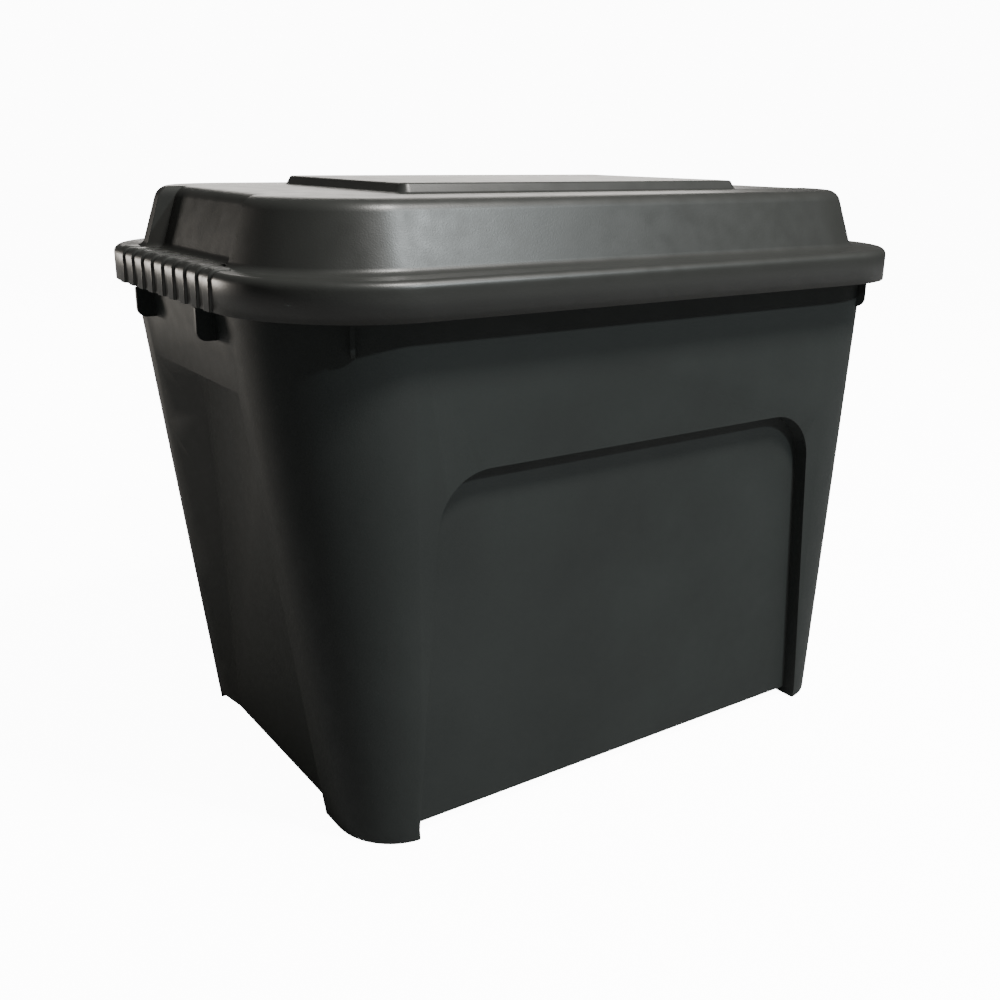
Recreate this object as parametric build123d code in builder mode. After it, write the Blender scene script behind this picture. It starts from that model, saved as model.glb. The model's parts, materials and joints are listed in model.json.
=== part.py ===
"""Large tub-type bait station: a moulded tub with a lift-off domed lid, two entry
ports through the rear wall, two lift-out baffles and a lift-out bait cassette.

Millimetres, +Z up. The origin is on the ground under the middle of the tub.
+X runs along the long side, -Y is the plain front, +Y the rear with the ports.
"""

import os
from math import atan, cos, degrees, radians, sin, tan

from build123d import *

# ---- overall sizes ---------------------------------------------------------
lid_length = 606.0          # over the grip ribs at both short ends
lid_width = 401.0
tub_height = 406.0          # ground to the top of the rim, where the lid rests
tub_base_length = 485.4     # outer, at the ground
tub_base_width = 358.0
dome_height = 45.7          # lid flange up to the dome's flat top
panel_height = 7.2          # raised panel above the dome's top

# ---- tub walls -------------------------------------------------------------
wall = 3.0
end_overhang = 10.2         # lid edge past the tub wall, measured at the rim
side_overhang = 19.5
front_base_corner_r = 47.4
rear_base_corner_r = 86.0
rim_corner_r = 91.4
foot_height = 8.8           # the four corner columns run this far below the floor
foot_edge_r = 3.0

# ---- recessed panels of the tub --------------------------------------------
side_recess_depth = 10.5
side_recess_top = 273.8
side_recess_base_inset = 43.8    # tub base end to the recess edge, at the ground
side_recess_lean = 19.6          # the recess edge runs in this far at its top
side_recess_corner_r = 40.0
side_recess_draft = 12.0         # degrees
end_recess_top = 329.0
end_recess_base_inset = 68.5     # tub base side to the recess edge, at the ground
end_recess_lean = 24.0
end_recess_base_depth = 5.0
end_recess_top_depth = 20.0
end_recess_front_blend = 8.0     # width of the slope from its front edge to its floor
end_recess_base_blend = 38.0     # width of the rear slope, at the ground
end_recess_top_blend = 58.0

# ---- rim, its ribs and the lid ---------------------------------------------
lid_wall = 2.8
rim_clearance = 1.0         # rim to the inside of the lid's skirt
rim_thickness = 3.5
rim_lip_drop = 15.0
rim_lip_thickness = 2.5
rib_thickness = 3.0
rib_bottom = 359.5
rib_corner_r = 7.0
rib_skirt_gap = 1.0         # below the lid's skirt the end ribs step out
end_rib_spread = 128.0      # between the two ribs under each short end
corner_rib_angle = 63.0     # degrees from the long axis
corner_rib_setback = 8.0    # inside the rim's lip
skirt_height = 25.8         # flange top down to the skirt's lower edge
skirt_corner_r = 98.0
skirt_edge_r = 6.0
end_bow = 3.0               # the short ends bulge outwards by this
grip_count = 9
grip_pitch = 22.6
grip_rib_width = 13.0
grip_rib_height = 1.6
grip_reach = 16.0           # how far each rib runs in over the flange
flange_end_width = 17.0     # skirt to the dome's foot
flange_side_width = 30.5
dome_draft = 14.6           # the dome's walls lean in by this over its height
dome_corner_r = 90.0
dome_edge_r = 9.0
dome_recess_spread = 160.0  # width of the stepped-in panel in each dome end
dome_recess_depth = 12.0
panel_end_margin = 106.0    # dome's top edge to the raised panel's foot
panel_side_margin = 56.6
panel_draft = 4.1
panel_corner_r = 9.0

# ---- entry ports in the rear wall ------------------------------------------
port_bore_r = 32.0
port_tube_wall = 3.0
port_hole_clearance = 0.5
port_flange_r = 47.0
port_flange_thickness = 4.0
port_gasket_thickness = 2.0
port_edge_gap = 12.0        # flange to the side of the recess
port_floor_gap = 8.0        # flange above the tub's floor
port_tube_depth = 34.0      # from the wall's inner face
port_nut_r = 45.0
port_nut_thickness = 10.0
port_nut_clearance = 0.4
port_nut_lugs = 8
port_lug_r = 4.0

# ---- baffles ---------------------------------------------------------------
baffle_thickness = 3.0
baffle_height = 190.0
baffle_end_clearance = 1.2
baffle_port_gap = 4.0       # nut to the guide ribs
guide_thickness = 3.0
guide_depth = 8.0
guide_clearance = 0.5
arch_width = 70.0
arch_height = 78.0
arch_edge = 18.0            # guide to the arch's side
baffle_grip_width = 60.0
baffle_grip_height = 18.0
baffle_grip_drop = 14.0

# ---- bait cassette ---------------------------------------------------------
cassette_side_gap = 7.0     # tray to baffle
cassette_rear_gap = 10.0    # bail to the rear wall
cassette_front_gap = 12.0   # bail to the archways
tray_height = 32.0
tray_wall = 2.5
tray_corner_r = 10.0
end_plate_thickness = 4.0
end_plate_height = 176.0
end_plate_fit = 0.3         # end plate to the tray's end wall
plate_neck = 20.0           # half width of the plate's top
notch_wall = 12.0
rod_r = 3.0
rod_height = 118.0          # above the tub's floor
rod_clearance = 0.3
rod_overhang = 6.0          # past each end plate
rod_share = 0.41            # rods stand this share of the tray's half width out
clip_r = 6.5
clip_thickness = 1.2
clip_gap = 0.4
block_count = 4
block_middle_gap = 19.0     # between the two rows of bait
block_gap = 1.0
block_bore_clearance = 0.4
block_groove_r = 3.0
screw_shank_r = 1.9
screw_head_r = 3.8
screw_head_height = 2.4
screw_spread = 60.0
screw_clearance = 0.2
bail_r = 2.5
bail_pivot_height = 162.0   # above the tub's floor
bail_clearance = 0.3
bail_rod_gap = 2.0          # bail leg to the rods' ends
bail_rest_angle = 97.0      # degrees from upright, laid over towards -X
bail_end_gap = 8.0          # hand grip to the baffle
bail_bend_r = 8.0
grip_tube_r = 8.0
grip_tube_length = 96.0
grip_clearance = 0.2
peg_r = 3.0
peg_distance = 14.0         # pivot to the pegs the bail lies on
peg_clearance = 0.2

# ---- anchor holes in the floor ---------------------------------------------
anchor_hole_r = 4.5
anchor_spread_x = 300.0
anchor_spread_y = 140.0

# ---- sizes that follow -----------------------------------------------------
base_half = (tub_base_length / 2, tub_base_width / 2)
rim_half = (lid_length / 2 - end_overhang, lid_width / 2 - side_overhang)
skirt_half = (lid_length / 2 - grip_rib_height, lid_width / 2)
flange_top = tub_height + lid_wall
skirt_bottom = flange_top - skirt_height
side_lean = atan((rim_half[1] - base_half[1]) / tub_height)
floor_top = foot_height + wall
side_recess_half = base_half[0] - side_recess_base_inset
end_recess_half = base_half[1] - end_recess_base_inset
inner_side = base_half[1] - side_recess_depth - wall
port_height = floor_top + port_floor_gap + port_flange_r
port_tube_r = port_bore_r + port_tube_wall
port_recess_share = (port_height + port_flange_r) / side_recess_top
port_recess_half = side_recess_half - side_recess_lean * port_recess_share
port_x = port_recess_half - port_edge_gap - port_flange_r
guide_offset = baffle_thickness / 2 + guide_clearance + guide_thickness
baffle_x = port_x - port_nut_r - port_lug_r - baffle_port_gap - guide_offset
baffle_half = inner_side - baffle_end_clearance
cassette_half = baffle_x - baffle_thickness / 2 - cassette_side_gap
bail_plate_gap = rod_overhang + bail_rod_gap + bail_r
bail_reach = bail_plate_gap + bail_r
arch_start = -inner_side + guide_depth + arch_edge
tray_front = arch_start + arch_width + cassette_front_gap + bail_reach
tray_rear = inner_side - cassette_rear_gap - bail_reach
tray_middle = (tray_front + tray_rear) / 2
tray_length = tray_rear - tray_front
plate_outer = tray_length / 2 - tray_wall - end_plate_fit
plate_inner = plate_outer - end_plate_thickness
rod_x = cassette_half * rod_share
block_width = 2 * rod_x - block_middle_gap
block_length = (2 * plate_inner - block_gap * (block_count + 1)) / block_count
bail_z = floor_top + bail_pivot_height
bail_length = cassette_half + cassette_side_gap - bail_end_gap - grip_tube_r
bail_leg = plate_outer + bail_plate_gap


def save(piece, name):
    """Labels a finished piece and writes it as one STEP file."""
    piece.part.label = name
    export_step(piece.part, f"parts/{name}.step")


def tub_half(height):
    """Half length and half width of the tub's outside at a height."""
    share = height / tub_height
    return [base + (rim - base) * share for base, rim in zip(base_half, rim_half)]


def tub_corner(height, base_corner_r):
    """Plan radius of one of the tub's corners at a height."""
    return base_corner_r + (rim_corner_r - base_corner_r) * height / tub_height


def side_plane(side, inset=0.0):
    """Plane of a long side's recessed panel, facing outwards, its Y up the wall."""
    lift = side * (base_half[1] - side_recess_depth)
    normal = (0, side * cos(side_lean), -sin(side_lean))
    return Plane(origin=(0, lift, 0), x_dir=(-side, 0, 0), z_dir=normal).offset(-inset)


def end_plane(end, depth_low, depth_high, inset=0.0):
    """Plane through a short end, sunk by two depths at the ground and recess top."""
    low = base_half[0] - depth_low
    high = tub_half(end_recess_top)[0] - depth_high
    lean = atan((high - low) / end_recess_top)
    normal = (end * cos(lean), 0, -sin(lean))
    return Plane(origin=(end * low, 0, 0), x_dir=(0, end, 0), z_dir=normal).offset(-inset)


def skirt_outline(inset):
    """Lid or rim outline: straight long sides, bowed ends and round corners."""
    half_x = skirt_half[0] - end_bow - inset
    half_y = skirt_half[1] - inset
    with BuildSketch() as outline:
        with BuildLine():
            Line((-half_x, -half_y), (half_x, -half_y))
            ThreePointArc((half_x, -half_y), (half_x + end_bow, 0), (half_x, half_y))
            Line((half_x, half_y), (-half_x, half_y))
            ThreePointArc((-half_x, half_y), (-half_x - end_bow, 0), (-half_x, -half_y))
        make_face()
        fillet(outline.vertices(), skirt_corner_r - inset)
    return outline.sketch


def tapered_outline(right, left, top, drop=30.0):
    """Four-sided outline, each side given by its place at the ground and at the top."""
    right_low = right[0] + (right[0] - right[1]) / top * drop
    left_low = left[0] + (left[0] - left[1]) / top * drop
    corners = [(-left_low, -drop), (right_low, -drop), (right[1], top), (-left[1], top)]
    with BuildSketch() as outline:
        with BuildLine():
            Polyline(*corners, close=True)
        make_face()
    return outline.sketch


def tub_form(inset):
    """The tub's solid outside for no inset, or its cavity for an inset of one wall."""
    reach = 60.0
    front_grow = inset * tan(atan(end_recess_top_depth / end_recess_front_blend) / 2)
    rear_grow = inset * tan(atan(end_recess_top_depth / end_recess_top_blend) / 2)
    mouth_half = end_recess_half - end_recess_lean
    front_edge = (end_recess_half + front_grow, mouth_half + front_grow)
    rear_edge = (end_recess_half + rear_grow, mouth_half + rear_grow)
    front_foot = (front_edge[0] - end_recess_front_blend, front_edge[1] - end_recess_front_blend)
    rear_foot = (rear_edge[0] - end_recess_base_blend, rear_edge[1] - end_recess_top_blend)
    side_edge = (side_recess_half + inset, side_recess_half - side_recess_lean + inset)
    with BuildPart() as form:
        for base_r, keep in (
            (front_base_corner_r, Keep.TOP),
            (rear_base_corner_r, Keep.BOTTOM),
        ):
            with BuildPart():
                for height in (inset, tub_height + inset):
                    half_x, half_y = tub_half(height)
                    corner = tub_corner(height, base_r) - inset
                    with BuildSketch(Plane.XY.offset(height)):
                        RectangleRounded(2 * (half_x - inset), 2 * (half_y - inset), corner)
                loft()
                split(bisect_by=Plane.XZ, keep=keep)
        for side in (-1, 1):
            with BuildSketch(side_plane(side, inset)) as panel:
                add(tapered_outline(side_edge, side_edge, side_recess_top + inset))
                fillet(panel.vertices().group_by(Axis.Z)[-1], side_recess_corner_r + inset)
            extrude(amount=reach, taper=-side_recess_draft, mode=Mode.SUBTRACT)
        for end in (-1, 1):
            deep = end_plane(end, end_recess_base_depth, end_recess_top_depth, inset)
            with BuildSketch(deep):
                add(tapered_outline(*(rear_foot, front_foot)[::end], end_recess_top + inset))
            with BuildSketch(end_plane(end, 0, 0, inset)) as mouth:
                add(tapered_outline(*(rear_edge, front_edge)[::end], end_recess_top + inset))
            loft(mode=Mode.SUBTRACT)
            extrude(mouth.sketch, amount=reach, mode=Mode.SUBTRACT)
        with BuildSketch(Plane.XY):
            Rectangle(2 * base_half[0] + reach, 2 * (end_recess_half + inset))
            Rectangle(2 * (side_recess_half + inset), 2 * base_half[1] + reach)
        extrude(amount=foot_height + inset, mode=Mode.SUBTRACT)
    return form.part


def make_tub():
    """Tapered tub with feet, recessed panels, rim, ribs, guides and holes."""
    rim_inset = lid_wall + rim_clearance
    with BuildPart() as tub:
        add(tub_form(0))
        fillet(tub.faces().group_by(Axis.Z)[0].edges(), foot_edge_r)
        with BuildSketch(Plane.XY.offset(tub_height - rim_thickness)):
            add(skirt_outline(rim_inset))
        extrude(amount=rim_thickness)
        with BuildSketch(Plane.XY.offset(tub_height - rim_lip_drop)):
            add(skirt_outline(rim_inset))
            add(skirt_outline(rim_inset + rim_lip_thickness), mode=Mode.SUBTRACT)
        extrude(amount=rim_lip_drop - rim_thickness)
        add(rim_ribs(rim_inset))
        add(tub_form(wall), mode=Mode.SUBTRACT)
        add(baffle_guides())
        for end in (-1, 1):
            with BuildSketch(side_plane(1)):
                with Locations((end * port_x, port_height)):
                    Circle(port_tube_r + port_hole_clearance)
            extrude(amount=-2 * wall, mode=Mode.SUBTRACT)
        with BuildSketch(Plane.XY.offset(foot_height)):
            with GridLocations(anchor_spread_x, anchor_spread_y, 2, 2):
                Circle(anchor_hole_r)
        extrude(amount=wall, mode=Mode.SUBTRACT)
    return tub


def rib_outline(root, tip, lower_tip):
    """Upright rib from inside the wall to its tips, its lower outer corner round."""
    step = skirt_bottom - rib_skirt_gap
    top = tub_height - rim_thickness
    with BuildSketch() as outline:
        for reach, high in ((tip, top), (lower_tip, step)):
            corners = [(root, rib_bottom), (reach, rib_bottom), (reach, high), (root, high)]
            with BuildLine():
                Polyline(*corners, close=True)
            make_face()
        lower = outline.vertices().sort_by(Axis.Y)[:2].sort_by(Axis.X)[-1]
        fillet(lower, rib_corner_r)
    return outline.sketch


def rim_ribs(rim_inset):
    """Ribs under the rim: two at each short end and one across each corner."""
    wall_end, wall_side = tub_half(rib_bottom)
    end_skirt = skirt_half[0] - end_bow * (end_rib_spread / lid_width) ** 2
    corner = tub_corner(rib_bottom, front_base_corner_r)
    centre = (wall_end - corner, wall_side - corner)
    skirt_centre = (skirt_half[0] - end_bow - skirt_corner_r, skirt_half[1] - skirt_corner_r)
    angle = radians(corner_rib_angle)
    shift = (skirt_centre[0] - centre[0]) * cos(angle) + (skirt_centre[1] - centre[1]) * sin(angle)
    corner_tip = skirt_corner_r - rim_inset + shift - corner_rib_setback
    with BuildPart() as ribs:
        for mirror_x in (-1, 1):
            for mirror_y in (-1, 1):
                spot = (0, mirror_y * end_rib_spread / 2, 0)
                face = Plane(origin=spot, x_dir=(mirror_x, 0, 0), z_dir=(0, -mirror_x, 0))
                with BuildSketch(face):
                    add(rib_outline(wall_end - wall / 2, end_skirt - rim_inset, end_skirt))
                extrude(amount=rib_thickness / 2, both=True)
                outward = Vector(mirror_x * cos(angle), mirror_y * sin(angle), 0)
                spot = (mirror_x * centre[0], mirror_y * centre[1], 0)
                face = Plane(origin=spot, x_dir=outward, z_dir=outward.cross(Vector(0, 0, 1)))
                with BuildSketch(face):
                    add(rib_outline(corner - wall / 2, corner_tip, corner_tip))
                extrude(amount=rib_thickness / 2, both=True)
    return ribs.part


def baffle_guides():
    """Pairs of upright ribs inside the long walls that hold the baffles' edges."""
    middle = baffle_thickness / 2 + guide_clearance + guide_thickness / 2
    depth = guide_depth + wall / 2 + (baffle_height + floor_top) * tan(side_lean)
    with BuildPart() as guides:
        with BuildSketch(Plane.XY.offset(floor_top - wall / 2)):
            for end in (-1, 1):
                for side in (-1, 1):
                    spot = (end * baffle_x, side * (inner_side - guide_depth + depth / 2))
                    with Locations(spot):
                        with GridLocations(2 * middle, 1, 2, 1):
                            Rectangle(guide_thickness, depth)
        extrude(amount=baffle_height)
    return guides.part


def dome_form(inset):
    """Domed middle of the lid with stepped-in ends: its outside, or its hollow."""
    foot = (skirt_half[0] - flange_end_width, skirt_half[1] - flange_side_width)
    foot_z = flange_top - lid_wall
    top_z = flange_top + dome_height - inset
    with BuildPart() as dome:
        for height, lean in ((foot_z, inset), (top_z, dome_draft + inset)):
            with BuildSketch(Plane.XY.offset(height)):
                RectangleRounded(
                    2 * (foot[0] - lean), 2 * (foot[1] - lean), dome_corner_r - lean
                )
        loft()
        fillet(dome.faces().sort_by(Axis.Z)[-1].edges(), dome_edge_r - inset)
        lean = atan(dome_draft / (top_z - foot_z))
        for end in (-1, 1):
            origin = (end * (foot[0] - dome_recess_depth - inset), 0, foot_z)
            normal = (end * cos(lean), 0, sin(lean))
            with BuildSketch(Plane(origin=origin, x_dir=(0, end, 0), z_dir=normal)):
                Rectangle(dome_recess_spread + 2 * inset, 4 * dome_height)
            extrude(amount=3 * dome_recess_depth, taper=-15, mode=Mode.SUBTRACT)
    return dome.part


def make_lid():
    """Lift-off lid: skirt, flange, dome, raised panel and ribbed finger grips."""
    panel_half = (
        skirt_half[0] - flange_end_width - dome_draft - panel_end_margin,
        skirt_half[1] - flange_side_width - dome_draft - panel_side_margin,
    )
    dome_top = flange_top + dome_height
    panel_taper = degrees(atan(panel_draft / panel_height))
    with BuildPart() as lid:
        with BuildSketch(Plane.XY.offset(skirt_bottom)):
            add(skirt_outline(0))
        extrude(amount=skirt_height)
        fillet(lid.faces().sort_by(Axis.Z)[-1].edges(), skirt_edge_r)
        for end in (-1, 1):
            add(grip_ribs(end))
        add(dome_form(0))
        with BuildSketch(Plane.XY.offset(dome_top)):
            RectangleRounded(2 * panel_half[0], 2 * panel_half[1], panel_corner_r)
        extrude(amount=panel_height, taper=panel_taper)
        with BuildSketch(Plane.XY.offset(skirt_bottom)):
            add(skirt_outline(lid_wall))
        extrude(amount=skirt_height - lid_wall, mode=Mode.SUBTRACT)
        add(dome_form(lid_wall), mode=Mode.SUBTRACT)
        with BuildSketch(Plane.XY.offset(dome_top - lid_wall)):
            half_x, half_y = [half - lid_wall for half in panel_half]
            RectangleRounded(2 * half_x, 2 * half_y, panel_corner_r - lid_wall)
        extrude(amount=panel_height, taper=panel_taper, mode=Mode.SUBTRACT)
    return lid


def grip_ribs(end):
    """A row of finger ribs that wrap over one short edge of the lid."""
    with BuildPart() as ribs:
        for step in range(grip_count):
            across = (step - (grip_count - 1) / 2) * grip_pitch
            tip = skirt_half[0] - end_bow * (2 * across / lid_width) ** 2 + grip_rib_height
            face = Plane(
                origin=(0, across, skirt_bottom), x_dir=(end, 0, 0), z_dir=(0, -end, 0)
            )
            with BuildSketch(face) as profile:
                with Locations((tip - grip_reach / 2, (skirt_height + grip_rib_height) / 2)):
                    Rectangle(grip_reach, skirt_height + grip_rib_height)
                outer = profile.vertices().sort_by(Axis.Z)[-2:]
                fillet(outer.sort_by(Axis.X, reverse=end > 0)[0], skirt_edge_r + grip_rib_height)
            extrude(amount=grip_rib_width / 2, both=True)
    return ribs.part


def make_port_tube(end):
    """Entry tube with its outer flange, set square to the rear panel."""
    with BuildPart() as tube:
        with BuildSketch(side_plane(1).offset(port_gasket_thickness)):
            with Locations((end * port_x, port_height)):
                Circle(port_flange_r)
        extrude(amount=port_flange_thickness)
        fillet(tube.faces().sort_by(Axis.Y)[-1].edges(), 1.5)
        with BuildSketch(side_plane(1, wall + port_tube_depth)):
            with Locations((end * port_x, port_height)):
                Circle(port_tube_r)
        extrude(amount=port_tube_depth + wall + port_gasket_thickness)
        with BuildSketch(side_plane(1, wall + port_tube_depth)):
            with Locations((end * port_x, port_height)):
                Circle(port_bore_r)
        extrude(amount=port_tube_depth + 6 * wall, mode=Mode.SUBTRACT)
    return tube


def make_port_gasket(end):
    """Flat rubber ring between the flange and the wall."""
    with BuildPart() as gasket:
        with BuildSketch(side_plane(1)):
            with Locations((end * port_x, port_height)):
                Circle(port_flange_r - 2)
                Circle(port_tube_r + port_hole_clearance, mode=Mode.SUBTRACT)
        extrude(amount=port_gasket_thickness)
    return gasket


def make_port_nut(end):
    """Lugged ring nut that clamps the entry tube from inside."""
    with BuildPart() as nut:
        with BuildSketch(side_plane(1, wall + port_nut_thickness)):
            with Locations((end * port_x, port_height)):
                Circle(port_nut_r)
                with PolarLocations(port_nut_r, port_nut_lugs):
                    Circle(port_lug_r)
                Circle(port_tube_r + port_nut_clearance, mode=Mode.SUBTRACT)
        extrude(amount=port_nut_thickness)
    return nut


def make_baffle(end):
    """Sheet that parts a side run from the bait chamber, with a low archway."""
    with BuildPart() as baffle:
        face = Plane(
            origin=(end * baffle_x - baffle_thickness / 2, 0, floor_top),
            x_dir=(0, 1, 0),
            z_dir=(1, 0, 0),
        )
        with BuildSketch(face):
            with Locations((0, baffle_height / 2)):
                Rectangle(2 * baffle_half, baffle_height)
            fillet(vertices().group_by(Axis.Y)[-1], 6)
            with Locations((arch_start + arch_width / 2, 0)):
                SlotOverall(2 * arch_height, arch_width, rotation=90, mode=Mode.SUBTRACT)
            with Locations((0, baffle_height - baffle_grip_drop - baffle_grip_height / 2)):
                SlotOverall(baffle_grip_width, baffle_grip_height, mode=Mode.SUBTRACT)
        extrude(amount=baffle_thickness)
    return baffle


def make_tray():
    """Shallow tray that carries the cassette."""
    inner_r = tray_corner_r - tray_wall
    with BuildPart() as tray:
        with BuildSketch(Plane.XY.offset(floor_top)):
            with Locations((0, tray_middle)):
                RectangleRounded(2 * cassette_half, tray_length, tray_corner_r)
        extrude(amount=tray_height)
        with BuildSketch(Plane.XY.offset(floor_top + tray_wall)):
            with Locations((0, tray_middle)):
                inner_half = cassette_half - tray_wall
                RectangleRounded(2 * inner_half, tray_length - 2 * tray_wall, inner_r)
        extrude(amount=tray_height, mode=Mode.SUBTRACT)
        for end in (-1, 1):
            with BuildSketch(plate_plane(end, tray_length / 2)):
                with Locations(*screw_spots()):
                    Circle(screw_shank_r + screw_clearance)
            extrude(amount=-tray_wall, mode=Mode.SUBTRACT)
    return tray


def plate_plane(end, out=plate_outer):
    """Upright plane across one end of the cassette, facing outwards, Y up from the floor."""
    spot = (0, tray_middle + end * out, floor_top)
    return Plane(origin=spot, x_dir=(-end, 0, 0), z_dir=(0, end, 0))


def screw_spots():
    """The two screws of each end plate, seen square on from outside."""
    height = (tray_wall + tray_height) / 2
    return [(-screw_spread / 2, height), (screw_spread / 2, height)]


def make_end_plate(end):
    """Upright plate with two open rod notches, a bail pivot and pegs the bail lies on."""
    half = cassette_half - tray_corner_r
    low = tray_wall + end_plate_fit
    notch = rod_r + rod_clearance
    shoulder = rod_x + notch + notch_wall
    top = end_plate_height
    upper = rod_height + notch_wall
    angle = radians(bail_rest_angle)
    peg_drop = bail_r + peg_r + peg_clearance
    peg_x = peg_distance * sin(angle) + peg_drop * cos(angle)
    peg_z = bail_pivot_height + peg_distance * cos(angle) - peg_drop * sin(angle)
    with BuildPart() as plate:
        with BuildSketch(plate_plane(end)) as face:
            with BuildLine():
                Polyline(
                    (-half, low),
                    (half, low),
                    (half, tray_height),
                    (shoulder, upper),
                    (plate_neck, top),
                    (-plate_neck, top),
                    (-shoulder, upper),
                    (-half, tray_height),
                    close=True,
                )
            make_face()
            fillet(face.vertices().group_by(Axis.Z)[-1], plate_neck / 2)
            with Locations((-rod_x, rod_height), (rod_x, rod_height)):
                Circle(notch, mode=Mode.SUBTRACT)
            with Locations((-rod_x, rod_height + top / 2), (rod_x, rod_height + top / 2)):
                Rectangle(2 * notch, top, mode=Mode.SUBTRACT)
            with Locations((0, bail_pivot_height)):
                Circle(bail_r + bail_clearance, mode=Mode.SUBTRACT)
            with Locations(*screw_spots()):
                Circle(screw_shank_r, mode=Mode.SUBTRACT)
        extrude(amount=-end_plate_thickness)
        with BuildSketch(plate_plane(end)):
            with Locations((-peg_x, peg_z), (peg_x, peg_z)):
                Circle(peg_r)
        extrude(amount=bail_plate_gap + bail_r)
    return plate


def make_plate_screws():
    """Screws that hold the end plates in the tray."""
    with BuildPart() as screws:
        for end in (-1, 1):
            with BuildSketch(plate_plane(end, plate_inner)):
                with Locations(*screw_spots()):
                    Circle(screw_shank_r)
            extrude(amount=tray_length / 2 - plate_inner)
            with BuildSketch(plate_plane(end, tray_length / 2)):
                with Locations(*screw_spots()):
                    Circle(screw_head_r)
            extrude(amount=screw_head_height)
        fillet(screws.edges().filter_by(GeomType.CIRCLE).sort_by(Axis.Y)[-2:], 1)
    return screws


def make_rod(side):
    """Steel rod that threads one row of bait blocks."""
    with BuildPart() as rod:
        with BuildSketch(plate_plane(1, -plate_outer - rod_overhang)):
            with Locations((-side * rod_x, rod_height)):
                Circle(rod_r)
        extrude(amount=2 * (plate_outer + rod_overhang))
        chamfer(rod.edges(), 0.6)
    return rod


def make_rod_clips(side):
    """Two push-on clips that keep a rod from sliding out of its notches."""
    with BuildPart() as clips:
        for end in (-1, 1):
            with BuildSketch(plate_plane(end, plate_outer + clip_gap)):
                with Locations((-side * end * rod_x, rod_height)):
                    Circle(clip_r)
                    Circle(rod_r, mode=Mode.SUBTRACT)
            extrude(amount=clip_thickness)
    return clips


def make_block(side, number):
    """Extruded bait block with a bore for the rod and gnawing grooves."""
    start = -plate_inner + block_gap + number * (block_length + block_gap)
    with BuildPart() as block:
        with BuildSketch(plate_plane(1, start)):
            with Locations((-side * rod_x, rod_height)):
                RectangleRounded(block_width, block_width, 3)
                with PolarLocations(block_width / 2 + block_groove_r / 3, 4):
                    Circle(block_groove_r, mode=Mode.SUBTRACT)
                Circle(rod_r + block_bore_clearance, mode=Mode.SUBTRACT)
        extrude(amount=block_length)
    return block


def bail_plane():
    """Plane of the laid-down bail: X along its bar, Y from the pivots out to the bar."""
    angle = radians(bail_rest_angle)
    outward = Vector(-sin(angle), 0, cos(angle))
    normal = Vector(0, 1, 0).cross(outward)
    return Plane(origin=(0, tray_middle, bail_z), x_dir=(0, 1, 0), z_dir=normal)


def make_bail():
    """Bent wire handle whose ends hook through the end plates."""
    hook = plate_inner - bail_r
    with BuildPart() as bail:
        with BuildLine(bail_plane()) as path:
            FilletPolyline(
                (-hook, 0),
                (-bail_leg, 0),
                (-bail_leg, bail_length),
                (bail_leg, bail_length),
                (bail_leg, 0),
                (hook, 0),
                radius=bail_bend_r,
            )
        start = Plane(origin=path.line @ 0, z_dir=path.line % 0)
        with BuildSketch(start):
            Circle(bail_r)
        sweep(path=path.line)
    return bail


def make_hand_grip():
    """Plastic tube that turns on the bail's bar."""
    centre = bail_plane().from_local_coords(Vector(0, bail_length, 0))
    with BuildPart() as grip:
        spot = (centre.X, centre.Y - grip_tube_length / 2, centre.Z)
        with BuildSketch(Plane(origin=spot, x_dir=(1, 0, 0), z_dir=(0, 1, 0))):
            Circle(grip_tube_r)
            Circle(bail_r + grip_clearance, mode=Mode.SUBTRACT)
        extrude(amount=grip_tube_length)
        outer = grip.edges().filter_by(GeomType.CIRCLE).sort_by(SortBy.RADIUS)[-2:]
        fillet(outer, 2)
    return grip


if __name__ == "__main__":
    os.makedirs("parts", exist_ok=True)
    save(make_tub(), "tub")
    save(make_lid(), "lid")
    for side, label in ((-1, "left"), (1, "right")):
        save(make_port_tube(side), f"{label}_entry_tube")
        save(make_port_gasket(side), f"{label}_entry_gasket")
        save(make_port_nut(side), f"{label}_entry_ring_nut")
        save(make_baffle(side), f"{label}_baffle")
        save(make_rod(side), f"{label}_bait_rod")
        save(make_rod_clips(side), f"{label}_rod_clips")
        for number in range(block_count):
            save(make_block(side, number), f"{label}_bait_block_{number + 1}")
    save(make_tray(), "cassette_tray")
    save(make_end_plate(-1), "front_end_plate")
    save(make_end_plate(1), "rear_end_plate")
    save(make_plate_screws(), "end_plate_screws")
    save(make_bail(), "lift_bail")
    save(make_hand_grip(), "bail_hand_grip")
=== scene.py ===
"""Looks of the tub-type bait station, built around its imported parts.

Metres, +Z up, in the part's own frame: +X runs along the long side, -Y is the
plain front and +Y the rear with the entry ports.
"""

import json
import logging
import math
from collections.abc import Callable, Iterable
from dataclasses import dataclass, field
from enum import Enum

import bmesh
import bpy
from mathutils import Matrix, Vector


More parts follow.
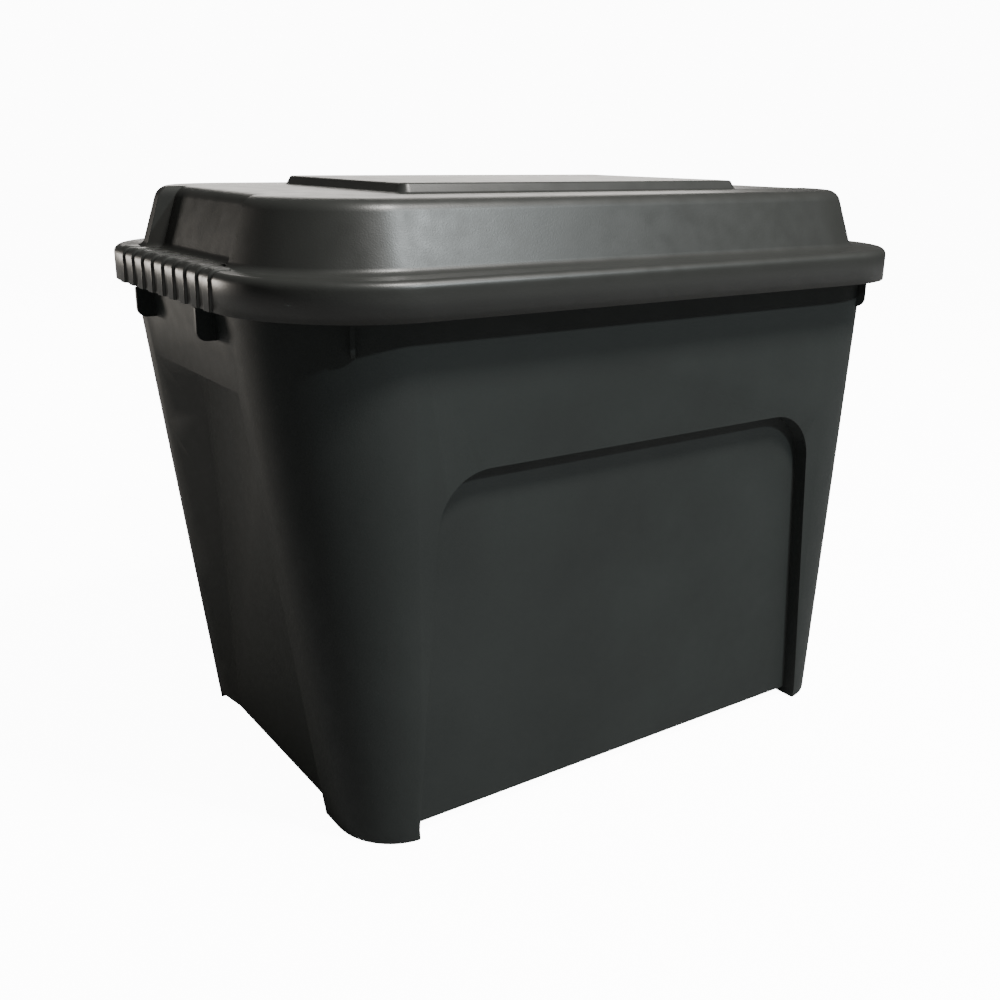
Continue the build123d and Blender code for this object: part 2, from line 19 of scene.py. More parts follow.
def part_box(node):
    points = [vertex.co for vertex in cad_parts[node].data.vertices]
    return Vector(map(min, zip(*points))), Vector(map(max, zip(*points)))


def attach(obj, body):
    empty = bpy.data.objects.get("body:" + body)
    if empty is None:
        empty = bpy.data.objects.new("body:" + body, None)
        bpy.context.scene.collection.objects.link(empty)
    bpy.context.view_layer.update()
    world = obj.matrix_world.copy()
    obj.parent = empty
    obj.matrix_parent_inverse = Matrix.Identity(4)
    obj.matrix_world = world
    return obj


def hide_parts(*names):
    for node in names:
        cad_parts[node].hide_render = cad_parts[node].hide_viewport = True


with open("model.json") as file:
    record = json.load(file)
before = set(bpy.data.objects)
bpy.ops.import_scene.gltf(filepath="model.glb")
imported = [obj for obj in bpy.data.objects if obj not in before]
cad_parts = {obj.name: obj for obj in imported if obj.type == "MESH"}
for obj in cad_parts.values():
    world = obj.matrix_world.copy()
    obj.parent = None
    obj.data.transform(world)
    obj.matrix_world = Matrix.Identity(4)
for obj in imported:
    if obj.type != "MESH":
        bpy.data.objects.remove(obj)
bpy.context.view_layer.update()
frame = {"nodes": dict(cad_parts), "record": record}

log = logging.getLogger("bait_station")

Triple = tuple[float, float, float]

NOISE_LOW, NOISE_HIGH = 0.3, 0.7  # the share of a noise that holds nearly all of it
WHITE = (1.0, 1.0, 1.0, 1.0)
BLACK = (0.0, 0.0, 0.0, 1.0)
SMOOTH_BELOW = math.radians(32)  # edges that turn by more than this stay crisp
TINY = 1e-4


class Slot(Enum):
    """Material slots of the part's record."""

    TUB = "tub_plastic"
    LID = "lid_plastic"
    LINER = "liner_plastic"
    BAFFLE = "baffle_plastic"
    FITTING = "fitting_plastic"
    GASKET = "gasket_rubber"
    GRIP = "grip_plastic"
    STEEL = "steel"
    BAIT = "bait"


# ---- finishes --------------------------------------------------------------


class NodeBench:
    """A material's nodes, with the few set-ups that the finishes share."""

    def __init__(self, name: str) -> None:
        """Starts a material.

        Args:
            name: Name of the material.
        """
        self.material = bpy.data.materials.new(name)
        self.material.use_nodes = True
        self.nodes = self.material.node_tree.nodes
        self.links = self.material.node_tree.links
        self.shader = self.nodes["Principled BSDF"]
        self.place = self.nodes.new("ShaderNodeTexCoord").outputs["Object"]

    def noise(
        self, size: float, detail: float = 2.0, stretch: Triple = (1.0, 1.0, 1.0)
    ) -> bpy.types.NodeSocket:
        """Adds soft noise fixed to the piece.

        Args:
            size: Width of its blotches in metres.
            detail: Octaves of finer noise.
            stretch: How many times finer it is along X, Y and Z.

        Returns:
            The noise's factor, from 0 to 1.
        """
        mapping = self.nodes.new("ShaderNodeMapping")
        mapping.inputs["Scale"].default_value = stretch
        self.links.new(self.place, mapping.inputs["Vector"])
        noise = self.nodes.new("ShaderNodeTexNoise")
        noise.inputs["Scale"].default_value = 1.0 / size
        noise.inputs["Detail"].default_value = detail
        self.links.new(mapping.outputs["Vector"], noise.inputs["Vector"])
        return noise.outputs["Fac"]

    def cells(self, size: float) -> bpy.types.NodeSocket:
        """Adds rounded cells fixed to the piece.

        Args:
            size: Width of a cell in metres.

        Returns:
            Distance from each cell's middle.
        """
        cells = self.nodes.new("ShaderNodeTexVoronoi")
        cells.inputs["Scale"].default_value = 1.0 / size
        self.links.new(self.place, cells.inputs["Vector"])
        return cells.outputs["Distance"]

    def spread(
        self, factor: bpy.types.NodeSocket, low: float, high: float
    ) -> bpy.types.NodeSocket:
        """Maps the middle of a noise to a range of values.

        Args:
            factor: The noise.
            low: Value where the noise is dark.
            high: Value where the noise is light.

        Returns:
            The mapped value.
        """
        spread = self.nodes.new("ShaderNodeMapRange")
        spread.inputs["From Min"].default_value = NOISE_LOW
        spread.inputs["From Max"].default_value = NOISE_HIGH
        spread.inputs["To Min"].default_value = low
        spread.inputs["To Max"].default_value = high
        self.links.new(factor, spread.inputs["Value"])
        return spread.outputs["Result"]

    def tint(
        self, factor: bpy.types.NodeSocket, dark: Triple, light: Triple
    ) -> bpy.types.NodeSocket:
        """Mixes two colours by a noise.

        Args:
            factor: The noise.
            dark: Triple where it is low.
            light: Triple where it is high.

        Returns:
            The mixed colour.
        """
        ramp = self.nodes.new("ShaderNodeValToRGB")
        ramp.color_ramp.elements[0].position = NOISE_LOW
        ramp.color_ramp.elements[0].color = (*dark, 1.0)
        ramp.color_ramp.elements[1].position = NOISE_HIGH
        ramp.color_ramp.elements[1].color = (*light, 1.0)
        self.links.new(factor, ramp.inputs["Fac"])
        return ramp.outputs["Color"]

    def relief(self, height: bpy.types.NodeSocket, depth: float) -> None:
        """Raises the surface by a pattern, on top of any relief already there.

        Args:
            height: The pattern.
            depth: Its height in metres.
        """
        bump = self.nodes.new("ShaderNodeBump")
        bump.inputs["Distance"].default_value = depth
        self.links.new(height, bump.inputs["Height"])
        normal = self.shader.inputs["Normal"]
        if normal.is_linked:
            self.links.new(normal.links[0].from_socket, bump.inputs["Normal"])
        self.links.new(bump.outputs["Normal"], normal)


def scaled(colour: Triple, share: float) -> Triple:
    """Returns a colour made lighter or darker by a share."""
    return tuple(min(1.0, part * share) for part in colour)


@dataclass(frozen=True)
class MouldedPlastic:
    """Injection moulded plastic: a fine grain, and faint clouds left by the flow."""

    name: str
    colour: Triple
    roughness: float
    shine: float = 0.5
    grain_size: float = 0.0011
    grain_depth: float = 0.00006
    clouds: float = 0.1
    cloud_size: float = 0.09
    polish: float = 0.035

    def material(self) -> bpy.types.Material:
        """Returns the finish as a material."""
        bench = NodeBench(self.name)
        clouds = bench.noise(self.cloud_size, detail=4.0)
        dark = scaled(self.colour, 1 - self.clouds)
        light = scaled(self.colour, 1 + self.clouds)
        bench.links.new(bench.tint(clouds, dark, light), bench.shader.inputs["Base Color"])
        sheen = bench.noise(self.cloud_size / 6, detail=5.0)
        rough = bench.spread(sheen, self.roughness - self.polish, self.roughness + self.polish)
        bench.links.new(rough, bench.shader.inputs["Roughness"])
        bench.shader.inputs["Specular IOR Level"].default_value = self.shine
        bench.relief(bench.noise(self.cloud_size / 2, detail=1.0), self.grain_depth * 3)
        bench.relief(bench.noise(self.grain_size), self.grain_depth)
        return bench.material


@dataclass(frozen=True)
class DrawnSteel:
    """Zinc plated steel with fine drawing lines along one axis."""

    name: str
    colour: Triple = (0.5, 0.51, 0.52)
    roughness: float = 0.32
    lines: Triple = (1.0, 0.04, 1.0)
    line_width: float = 0.0006
    line_depth: float = 0.00003
    spangle_size: float = 0.006

    def material(self) -> bpy.types.Material:
        """Returns the finish as a material."""
        bench = NodeBench(self.name)
        bench.shader.inputs["Metallic"].default_value = 1.0
        spangle = bench.noise(self.spangle_size, detail=3.0)
        dark, light = scaled(self.colour, 0.8), scaled(self.colour, 1.15)
        bench.links.new(bench.tint(spangle, dark, light), bench.shader.inputs["Base Color"])
        drawn = bench.noise(self.line_width, stretch=self.lines)
        rough = bench.spread(drawn, self.roughness - 0.08, self.roughness + 0.1)
        bench.links.new(rough, bench.shader.inputs["Roughness"])
        bench.relief(drawn, self.line_depth)
        return bench.material


@dataclass(frozen=True)
class SoftRubber:
    """Matt black rubber with a slightly dusty surface."""

    name: str
    colour: Triple = (0.012, 0.012, 0.012)
    roughness: float = 0.82
    dust_size: float = 0.004
    grain_size: float = 0.0008
    grain_depth: float = 0.00004

    def material(self) -> bpy.types.Material:
        """Returns the finish as a material."""
        bench = NodeBench(self.name)
        dust = bench.noise(self.dust_size, detail=6.0)
        dark, light = scaled(self.colour, 0.8), scaled(self.colour, 2.0)
        bench.links.new(bench.tint(dust, dark, light), bench.shader.inputs["Base Color"])
        bench.shader.inputs["Roughness"].default_value = self.roughness
        bench.relief(bench.noise(self.grain_size), self.grain_depth)
        return bench.material


@dataclass(frozen=True)
class PressedBait:
    """Grain pressed with coloured wax: flecks of kernel in a waxy body."""

    name: str
    wax: Triple = (0.02, 0.13, 0.12)
    kernel: Triple = (0.3, 0.24, 0.12)
    grain_size: float = 0.0042
    grain_depth: float = 0.0007
    fleck_edge: tuple[float, float] = (0.16, 0.24)
    cloud_size: float = 0.012
    roughness: float = 0.5
    crumb_size: float = 0.001
    crumb_depth: float = 0.0002

    def material(self) -> bpy.types.Material:
        """Returns the finish as a material."""
        bench = NodeBench(self.name)
        wax = bench.noise(self.cloud_size, detail=4.0)
        clouds = bench.tint(wax, scaled(self.wax, 0.7), scaled(self.wax, 1.5))
        flecks = bench.nodes.new("ShaderNodeValToRGB")
        stops = flecks.color_ramp.elements
        for stop, position, shade in zip(stops, self.fleck_edge, (WHITE, BLACK)):
            stop.position = position
            stop.color = shade
        cells = bench.cells(self.grain_size)
        bench.links.new(cells, flecks.inputs["Fac"])
        mix = bench.nodes.new("ShaderNodeMixRGB")
        bench.links.new(flecks.outputs["Color"], mix.inputs["Fac"])
        bench.links.new(clouds, mix.inputs["Color1"])
        mix.inputs["Color2"].default_value = (*self.kernel, 1.0)
        bench.links.new(mix.outputs["Color"], bench.shader.inputs["Base Color"])
        bench.shader.inputs["Roughness"].default_value = self.roughness
        bench.relief(cells, self.grain_depth)
        bench.relief(bench.noise(self.crumb_size, detail=4.0), self.crumb_depth)
        return bench.material


def finishes() -> dict[Slot, bpy.types.Material]:
    """Returns one material for each slot of the record."""
    kinds = {
        Slot.TUB: MouldedPlastic("charcoal_tub", (0.0235, 0.0268, 0.0258), 0.58, shine=0.25),
        Slot.LID: MouldedPlastic(
            "charcoal_lid", (0.028, 0.029, 0.027), 0.38, shine=0.45, clouds=0.06
        ),
        Slot.LINER: MouldedPlastic("grey_liner", (0.1, 0.1, 0.1), 0.5),
        Slot.BAFFLE: MouldedPlastic("slate_sheet", (0.05, 0.053, 0.058), 0.6),
        Slot.FITTING: MouldedPlastic("glossy_fitting", (0.016, 0.016, 0.018), 0.3),
        Slot.GASKET: SoftRubber("black_rubber"),
        Slot.GRIP: MouldedPlastic("handle_tube", (0.12, 0.12, 0.12), 0.62),
        Slot.STEEL: DrawnSteel("zinc_plated_steel"),
        Slot.BAIT: PressedBait("pressed_bait"),
    }
    return {slot: kind.material() for slot, kind in kinds.items()}


# ---- mesh helpers ----------------------------------------------------------


def loops_between(
    mesh: bmesh.types.BMesh, ring: Iterable[bmesh.types.BMVert]
) -> list[bmesh.types.BMEdge]:
    """Returns the edges whose two ends are both in a ring of points.

    Args:
        mesh: The mesh that holds them.
        ring: The points.

    Returns:
        The edges.
    """
    members = set(ring)
    return [edge for edge in mesh.edges if members.issuperset(edge.verts)]


def round_edges(
    mesh: bmesh.types.BMesh, edges: list[bmesh.types.BMEdge], radius: float, steps: int
) -> None:
    """Rounds edges.

    Args:
        mesh: The mesh to change.
        edges: Its edges to round.
        radius: How far the rounding reaches from each edge.
        steps: Number of faces across it.
    """
    bmesh.ops.bevel(
        mesh,
        geom=edges,
        offset=radius,
        offset_type="OFFSET",
        segments=steps,
        profile=0.5,
        affect="EDGES",
        material=-1,
        clamp_overlap=True,
    )


def cut_across(
    mesh: bmesh.types.BMesh,
    axis: Vector,
    places: Iterable[float],
    faces: Callable[[bmesh.types.BMFace], bool] | None = None,
) -> None:
    """Cuts faces by parallel planes.

    Args:
        mesh: The mesh to change.
        axis: Normal of the planes.
        places: Where each plane crosses that axis.
        faces: Test that a face has to pass to be cut, or None to cut them all.
    """
    for place in places:
        chosen = [face for face in mesh.faces if faces is None or faces(face)]
        edges = dict.fromkeys(edge for face in chosen for edge in face.edges)
        verts = dict.fromkeys(vert for face in chosen for vert in face.verts)
        bmesh.ops.bisect_plane(
            mesh,
            geom=[*chosen, *edges, *verts],
            dist=1e-6,
            plane_co=axis * place,
            plane_no=axis,
        )


def finished(name: str, mesh: bmesh.types.BMesh, material: bpy.types.Material) -> bpy.types.Object:
    """Turns a bmesh into a smooth shaded object at the origin.

    Args:
        name: Name of the piece.
        mesh: Its shape, which is freed.
        material: Its finish.

    Returns:
        The object, linked to the scene.
    """
    data = bpy.data.meshes.new(name)
    mesh.to_mesh(data)
    mesh.free()
    data.shade_smooth()
    data.set_sharp_from_angle(angle=SMOOTH_BELOW)
    data.materials.append(material)
    piece = bpy.data.objects.new(name, data)
    bpy.context.scene.collection.objects.link(piece)
    return piece


def ease(value: float, start: float, end: float) -> float:
    """Returns 0 before start and 1 after end, with a soft step between them."""
    share = min(1.0, max(0.0, (value - start) / (end - start)))
    return share * share * (3 - 2 * share)


# ---- lid -------------------------------------------------------------------


@dataclass
class RoundedRing:
    """Size of a rounded rectangle in plan."""

    half_x: float
    half_y: float
    corner: float

    def fit(
        self, verts: Iterable[bmesh.types.BMVert], target: "RoundedRing", height: float
    ) -> None:
        """Moves points of this ring onto another, at a height.

        Args:
            verts: Points that lie on this ring.
            target: The ring to move them to.
            height: Height to move them to.
        """
        for vert in verts:
            vert.co.x = self._moved(vert.co.x, self.half_x, target.half_x, target)
            vert.co.y = self._moved(vert.co.y, self.half_y, target.half_y, target)
            vert.co.z = height

    def _moved(self, place: float, half: float, new_half: float, target: "RoundedRing") -> float:
        """Works out where one coordinate of a point goes.

        Args:
            place: The coordinate.
            half: This ring's half width along it.
            new_half: The other ring's half width along it.
            target: The other ring.

        Returns:
            The new coordinate, with the corner's points spread over the new corner.
        """
        straight, new_straight = half - self.corner, new_half - target.corner
        past = abs(place) - straight
        if past > 0:
            return math.copysign(new_straight + past * target.corner / self.corner, place)
        return place * new_straight / straight


@dataclass
class DomedLid:
    """Lift-off lid: a skirt, a flange, a dome with stepped-in ends and a raised panel."""

    finish: bpy.types.Material
    wall: float = 0.0028
    skirt_height: float = 0.0258
    skirt_corner: float = 0.098
    skirt_edge: float = 0.006
    end_bow: float = 0.003
    flange_end: float = 0.017
    flange_side: float = 0.0305
    dome_height: float = 0.0457
    dome_lean: float = 0.0146
    dome_corner: float = 0.09
    dome_edge: float = 0.0085
    dome_foot_edge: float = 0.0045
    corner_steps: int = 22
    step_half: float = 0.08
    step_depth: float = 0.012
    step_side: float = 0.0032
    step_shares: tuple[float, ...] = (-0.4, 0.0, 0.14, 0.86, 1.0, 1.4)
    panel_end_margin: float = 0.106
    panel_side_margin: float = 0.0566
    panel_height: float = 0.0072
    panel_lean: float = 0.0041
    panel_corner: float = 0.009
    panel_edge: float = 0.0014
    panel_foot_edge: float = 0.0016
    grip_count: int = 9
    grip_pitch: float = 0.0226
    grip_width: float = 0.013
    grip_side: float = 0.0016
    grip_height: float = 0.0016
    grip_reach: float = 0.024
    grip_fade: float = 0.0045
    grip_knee: float = 0.002
    grip_margin: float = 0.006
    crease: float = math.radians(12)
    grip_shares: tuple[float, ...] = (0.34, 0.38, 0.41, 0.47, 0.5, 0.54)
    low: Vector = field(init=False)
    high: Vector = field(init=False)

    def __post_init__(self) -> None:
        """Takes the lid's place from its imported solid."""
        self.low, self.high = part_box("lid")

    @property
    def flange_z(self) -> float:
        """Height of the flange's top."""
        return self.low.z + self.skirt_height

    def build(self) -> bmesh.types.BMesh:
        """Returns the lid's outer skin."""
        skirt = RoundedRing(self.high.x - self.grip_height, self.high.y, self.skirt_corner)
        mesh = bmesh.new()
        bmesh.ops.create_cube(mesh, size=1.0)
        size = Vector((2 * skirt.half_x, 2 * skirt.half_y, self.skirt_height))
        bmesh.ops.scale(mesh, vec=size, verts=mesh.verts)
        middle = Vector((0, 0, self.low.z + self.skirt_height / 2))
        bmesh.ops.translate(mesh, vec=middle, verts=mesh.verts)
        upright = [e for e in mesh.edges if abs(e.verts[0].co.z - e.verts[1].co.z) > TINY]
        round_edges(mesh, upright, self.skirt_corner, self.corner_steps)
        bottom = [f for f in mesh.faces if f.normal.z < -0.9]
        bmesh.ops.delete(mesh, geom=bottom, context="FACES_ONLY")
        rims = self._raise_levels(mesh, skirt)
        for rim, radius, steps in rims:
            self._round_rim(mesh, rim, radius, steps)
        cuts = [self.step_half + self.step_side * share for share in self.step_shares]
        cut_across(mesh, Vector((0, 1, 0)), [*cuts, *(-cut for cut in cuts)])
        self._step_in_ends(mesh)
        self._bow_ends(mesh)
        self._wrap_grips(mesh)
        bmesh.ops.recalc_face_normals(mesh, faces=mesh.faces)
        return mesh

    def _raise_levels(self, mesh: bmesh.types.BMesh, skirt: RoundedRing) -> list[tuple]:
        """Raises the dome and its panel out of the flat top.

        Args:
            mesh: The skirt with its flat top.
            skirt: The skirt's outline.

        Returns:
            Each rim's ring and height, its radius and its number of steps.
        """
        foot = RoundedRing(
            skirt.half_x - self.flange_end, skirt.half_y - self.flange_side, self.dome_corner
        )
        top = RoundedRing(
            foot.half_x - self.dome_lean,
            foot.half_y - self.dome_lean,
            self.dome_corner - self.dome_lean,
        )
        panel_foot = RoundedRing(
            top.half_x - self.panel_end_margin,
            top.half_y - self.panel_side_margin,
            self.panel_corner,
        )
        panel_top = RoundedRing(
            panel_foot.half_x - self.panel_lean,
            panel_foot.half_y - self.panel_lean,
            self.panel_corner - self.panel_lean,
        )
        dome_z = self.flange_z + self.dome_height
        levels = [
            (foot, self.flange_z),
            (top, dome_z),
            (panel_foot, dome_z),
            (panel_top, dome_z + self.panel_height),
        ]
        ring = skirt
        for target, height in levels:
            flat_top = self._top_face(mesh)
            bmesh.ops.inset_region(mesh, faces=[flat_top], thickness=1e-5, use_even_offset=True)
            ring.fit(self._top_face(mesh).verts, target, height)
            ring = target
        return [
            ((skirt, self.flange_z), self.skirt_edge, 5),
            ((foot, self.flange_z), self.dome_foot_edge, 4),
            ((top, dome_z), self.dome_edge, 6),
            ((panel_foot, dome_z), self.panel_foot_edge, 2),
            ((panel_top, dome_z + self.panel_height), self.panel_edge, 3),
        ]

    def _top_face(self, mesh: bmesh.types.BMesh) -> bmesh.types.BMFace:
        """Returns the large flat face on top."""
        return max(mesh.faces, key=lambda face: face.calc_center_median().z + face.calc_area())

    def _step_in_ends(self, mesh: bmesh.types.BMesh) -> None:
        """Sets the middle of each dome end back, with slanted sides."""
        foot_x = self.high.x - self.grip_height - self.flange_end
        inner = foot_x - self.dome_lean - 2 * self.dome_edge
        outer = foot_x + 2 * self.dome_foot_edge
        for vert in mesh.verts:
            if inner < abs(vert.co.x) < outer and vert.co.z > self.low.z + self.wall:
                past = ease(abs(vert.co.y), self.step_half, self.step_half + self.step_side)
                vert.co.x -= math.copysign(self.step_depth * (1 - past), vert.co.x)

    def _bow_ends(self, mesh: bmesh.types.BMesh) -> None:
        """Bends the flat ends of the skirt into a shallow arc."""
        start = self.high.x - self.grip_height - self.skirt_corner
        for vert in mesh.verts:
            if abs(vert.co.x) > start and vert.co.z < self.flange_z + TINY:
                share = ease(abs(vert.co.x), start, self.high.x - self.flange_end)
                sag = share * self.end_bow * (vert.co.y / self.high.y) ** 2
                vert.co.x -= math.copysign(sag, vert.co.x)

    def _round_rim(
        self, mesh: bmesh.types.BMesh, rim: tuple[RoundedRing, float], radius: float, steps: int
    ) -> None:
        """Rounds one closed rim of the lid.

        Args:
            mesh: The lid.
            rim: The ring it follows and its height.
            radius: Radius of the rounding.
            steps: Number of faces across it.
        """
        ring, height = rim
        members = [
            vert
            for vert in mesh.verts
            if abs(vert.co.z - height) < TINY / 10 and self._near(vert.co, ring)
        ]
        edges = [e for e in loops_between(mesh, members) if self._turns(e)]
        round_edges(mesh, edges, radius, steps)

    def _near(self, place: Vector, ring: RoundedRing, reach: float = 0.001) -> bool:
        """Tests whether a point lies on a ring.

        Args:
            place: The point.
            ring: The ring.
            reach: How far from the ring the point may be.

        Returns:
            Whether it does.
        """
        past_x = abs(place.x) - (ring.half_x - ring.corner)
        past_y = abs(place.y) - (ring.half_y - ring.corner)
        if past_x > 0 and past_y > 0:
            gap = ring.corner - math.hypot(past_x, past_y)
        else:
            gap = min(ring.half_x - abs(place.x), ring.half_y - abs(place.y))
        return -reach < gap < reach

    def _turns(self, edge: bmesh.types.BMEdge) -> bool:
        """Returns whether the surface turns at an edge."""
        return len(edge.link_faces) == 2 and edge.calc_face_angle(0.0) > self.crease

    def _wrap_grips(self, mesh: bmesh.types.BMesh) -> None:
        """Raises a row of flat-topped finger ribs over both short edges."""
        rim_x = self.high.x - self.grip_height
        inner = rim_x - self.grip_reach
        span = (self.grip_count - 1) / 2
        offsets = [*(-share for share in reversed(self.grip_shares)), *self.grip_shares]
        places = []
        for step in range(self.grip_count):
            across = (step - span) * self.grip_pitch
            places += [across + offset * self.grip_width for offset in offsets]
        reach_y = span * self.grip_pitch + self.grip_width

        def at_edge(face: bmesh.types.BMFace) -> bool:
            """Returns whether a face is on the skirt's or flange's end."""
            middle = face.calc_center_median()
            return (
                max(abs(vert.co.x) for vert in face.verts) > inner + self.grip_knee / 2
                and abs(middle.x) > inner - self.grip_margin
                and min(abs(vert.co.y) for vert in face.verts) < reach_y
                and middle.z < self.flange_z + TINY
            )

        cut_across(mesh, Vector((0, 1, 0)), places, at_edge)
        for sign in (-1, 1):
            ends = [sign * (inner + run) for run in (self.grip_fade, self.grip_knee, 0.0)]
            cut_across(mesh, Vector((1, 0, 0)), ends, at_edge)
        mesh.normal_update()
        moves = []
        for vert in mesh.verts:
            at_end = abs(vert.co.x) > inner - TINY and abs(vert.co.y) < reach_y
            if at_end and vert.co.z < self.flange_z + TINY:
                nearest = round(vert.co.y / self.grip_pitch)
                gap = abs(vert.co.y - nearest * self.grip_pitch)
                rise = 1 - ease(gap, self.grip_width / 2 - self.grip_side, self.grip_width / 2)
                rise *= ease(abs(vert.co.x), inner, inner + self.grip_fade)
                way = Vector((vert.normal.x, 0, max(0.0, vert.normal.z))).normalized()
                moves.append((vert, way * self.grip_height * rise))
        for vert, move in moves:
            vert.co += move

    def dress(self) -> bpy.types.Object:
        """Returns the finished lid, riding on its body."""
        piece = finished("domed_lid", self.build(), self.finish)
        shell = piece.modifiers.new("wall", "SOLIDIFY")
        shell.thickness = self.wall
        shell.offset = -1.0
        shell.use_even_offset = False
        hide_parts("lid")
        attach(piece, "lid")
        return piece


# ---- tub -------------------------------------------------------------------


@dataclass
class StationTub:
    """Tapered tub with recessed panels, corner feet and a ribbed rim."""

    finish: bpy.types.Material
    edge: float = 0.0016
    edge_steps: int = 3
    edge_angle: float = math.radians(28)
    flat_angle: float = math.radians(0.6)
    weld: float = 2e-6

    def build(self) -> bmesh.types.BMesh:
        """Returns the tub's skin, its loose triangles merged into whole faces."""
        mesh = bmesh.new()
        mesh.from_mesh(frame["nodes"]["tub"].data)
        bmesh.ops.remove_doubles(mesh, verts=mesh.verts, dist=self.weld)
        bmesh.ops.dissolve_limit(
            mesh, angle_limit=self.flat_angle, verts=mesh.verts, edges=mesh.edges
        )
        return mesh

    def dress(self) -> bpy.types.Object:
        """Returns the finished tub, riding on its body."""
        piece = finished("station_tub_shell", self.build(), self.finish)
        soft = piece.modifiers.new("soft_edges", "BEVEL")
        soft.width = self.edge
        soft.segments = self.edge_steps
        soft.limit_method = "ANGLE"
        soft.angle_limit = self.edge_angle
        soft.harden_normals = True
        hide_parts("tub")
        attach(piece, "station_tub")
        return piece


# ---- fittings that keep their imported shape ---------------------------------


@dataclass
class PackedFittings:
    """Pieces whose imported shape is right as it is, and only get their finish."""

    looks: dict[Slot, bpy.types.Material]

    def dress(self) -> None:
        """Puts each node's finish on it."""
        for row in frame["record"]["subparts"]:
            node = frame["nodes"][row["node"]]
            node.data.materials.clear()
            node.data.materials.append(self.looks[Slot(row["material_slot"])])
            log.info("finish on %s: %s", row["node"], row["material_slot"])


# ---- studio ----------------------------------------------------------------


@dataclass(frozen=True)
class SoftBox:
    """A square area light aimed at a point."""

    name: str
    place: Triple
    aim: Triple
    size: float
    power: float
    colour: Triple = (1.0, 1.0, 1.0)

    def hang(self) -> None:
        """Adds the light to the scene."""
        lamp = bpy.data.lights.new(self.name, "AREA")
        lamp.size = self.size
        lamp.energy = self.power
        lamp.color = self.colour
        holder = bpy.data.objects.new(self.name, lamp)
        way = Vector(self.aim) - Vector(self.place)
        holder.rotation_mode = "QUATERNION"
        holder.rotation_quaternion = way.to_track_quat("-Z", "Y")
        holder.location = self.place
        bpy.context.scene.collection.objects.link(holder)


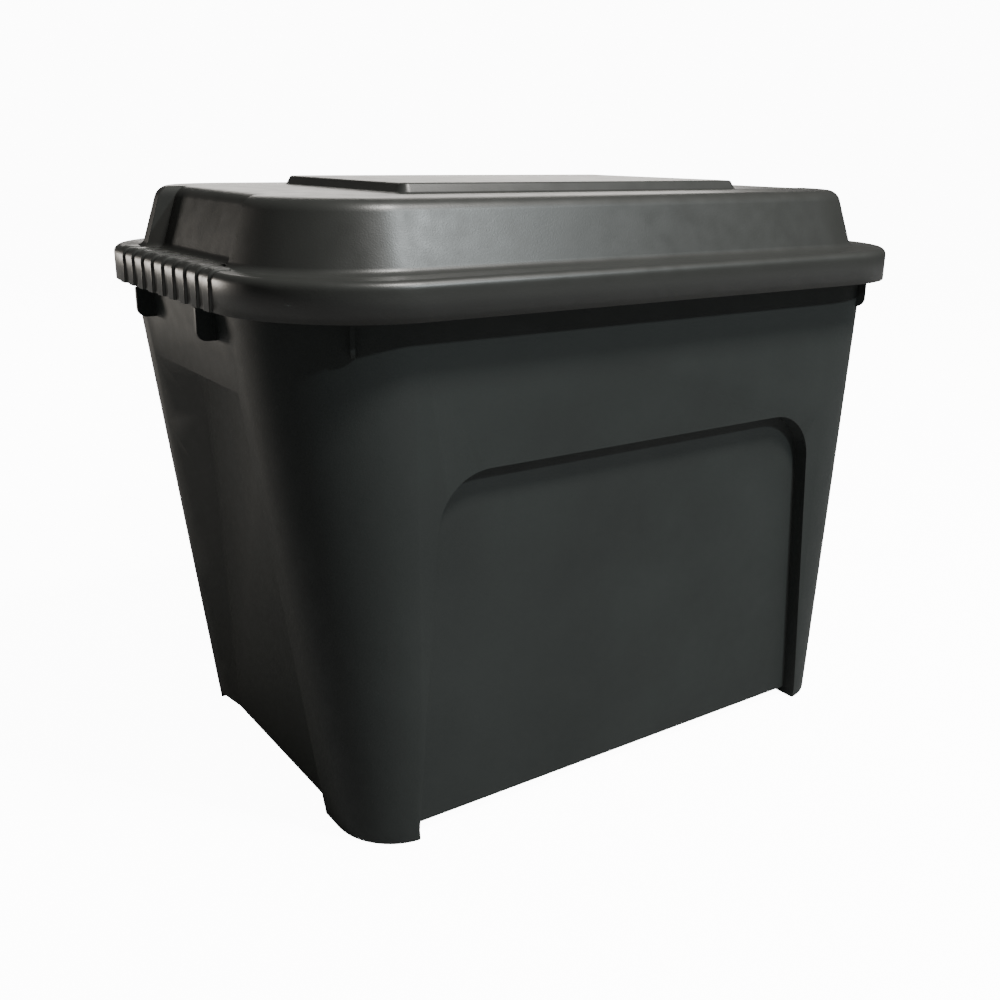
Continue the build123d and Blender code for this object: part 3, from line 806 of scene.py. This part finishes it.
@dataclass
class Studio:
    """Pale floor, soft lights and the camera."""

    camera_place: Triple = (-0.546672, -0.778437, 0.48535)
    yaw: float = math.radians(34.791)
    pitch: float = math.radians(-17.349)
    roll: float = math.radians(0.763)
    lens: float = 39.525
    shift: tuple[float, float] = (-0.00379, -0.00909)
    boxes: tuple[SoftBox, ...] = (
        SoftBox("high_front_box", (0.35, -1.05, 2.2), (0, 0, 0.3), 0.35, 72, (1.0, 0.97, 0.93)),
        SoftBox("low_front_box", (0.9, -2.0, 2.0), (0, 0, 0.3), 0.1, 50, (0.9, 0.98, 1.0)),
        SoftBox("back_left_box", (-1.4, 2.3, 0.36), (0, 0, 0.3), 0.45, 22, (1.0, 0.93, 0.84)),
        SoftBox("back_box", (1.3, 2.3, 1.35), (0, 0, 0.45), 2.0, 44, (1.0, 0.96, 0.91)),
    )
    room_light: float = 0.05
    room_white: float = 12.0
    floor_glow: float = 12.0
    floor_bounce: Triple = (0.3, 0.3, 0.3)
    floor_size: float = 6.0

    def set_up(self) -> None:
        """Adds the floor, the lights, the world and the camera."""
        self._floor()
        for box in self.boxes:
            box.hang()
        world = bpy.data.worlds.new("white_room")
        world.use_nodes = True
        tree = world.node_tree
        sky = tree.nodes["Background"]
        sky.inputs["Color"].default_value = WHITE
        level = tree.nodes.new("ShaderNodeMapRange")
        level.inputs["To Min"].default_value = self.room_light
        level.inputs["To Max"].default_value = self.room_white
        seen = tree.nodes.new("ShaderNodeLightPath")
        tree.links.new(seen.outputs["Is Camera Ray"], level.inputs["Value"])
        tree.links.new(level.outputs["Result"], sky.inputs["Strength"])
        bpy.context.scene.world = world
        self._camera()

    def _floor(self) -> None:
        """Adds a plain pale floor."""
        mesh = bmesh.new()
        bmesh.ops.create_grid(mesh, x_segments=1, y_segments=1, size=self.floor_size)
        bench = NodeBench("pale_floor")
        tone = bench.tint(bench.noise(0.5), (0.86, 0.86, 0.86), (0.88, 0.88, 0.88))
        bench.shader.inputs["Roughness"].default_value = 0.9
        bench.shader.inputs["Emission Color"].default_value = WHITE
        seen = bench.nodes.new("ShaderNodeLightPath")
        glow = bench.nodes.new("ShaderNodeMath")
        glow.operation = "MULTIPLY"
        glow.inputs[1].default_value = self.floor_glow
        bench.links.new(seen.outputs["Is Camera Ray"], glow.inputs[0])
        paper = bench.nodes.new("ShaderNodeMixRGB")
        paper.inputs["Color1"].default_value = (*self.floor_bounce, 1.0)
        bench.links.new(seen.outputs["Is Camera Ray"], paper.inputs["Fac"])
        bench.links.new(tone, paper.inputs["Color2"])
        bench.links.new(paper.outputs["Color"], bench.shader.inputs["Base Color"])
        bench.links.new(glow.outputs["Value"], bench.shader.inputs["Emission Strength"])
        floor = finished("floor", mesh, bench.material)

    def _camera(self) -> None:
        """Adds the camera."""
        ahead = Vector(
            (
                math.sin(self.yaw) * math.cos(self.pitch),
                math.cos(self.yaw) * math.cos(self.pitch),
                math.sin(self.pitch),
            )
        )
        level = Vector((math.cos(self.yaw), -math.sin(self.yaw), 0))
        upright = level.cross(ahead)
        right = level * math.cos(self.roll) + upright * math.sin(self.roll)
        up = upright * math.cos(self.roll) - level * math.sin(self.roll)
        data = bpy.data.cameras.new("camera")
        data.lens = self.lens
        data.sensor_width = 36.0
        data.shift_x, data.shift_y = self.shift
        holder = bpy.data.objects.new("camera", data)
        turn = Matrix((right, up, -ahead)).transposed()
        holder.matrix_world = Matrix.Translation(self.camera_place) @ turn.to_4x4()
        bpy.context.scene.collection.objects.link(holder)
        bpy.context.scene.camera = holder


def main() -> None:
    """Builds every piece, then the studio around them."""
    logging.basicConfig(level=logging.INFO, format="%(name)s: %(message)s")
    Studio().set_up()
    looks = finishes()
    PackedFittings(looks).dress()
    for maker in (StationTub(looks[Slot.TUB]), DomedLid(looks[Slot.LID])):
        piece = maker.dress()
        log.info("%s: %d faces", piece.name, len(piece.data.polygons))


if __name__ == "__main__":
    main()
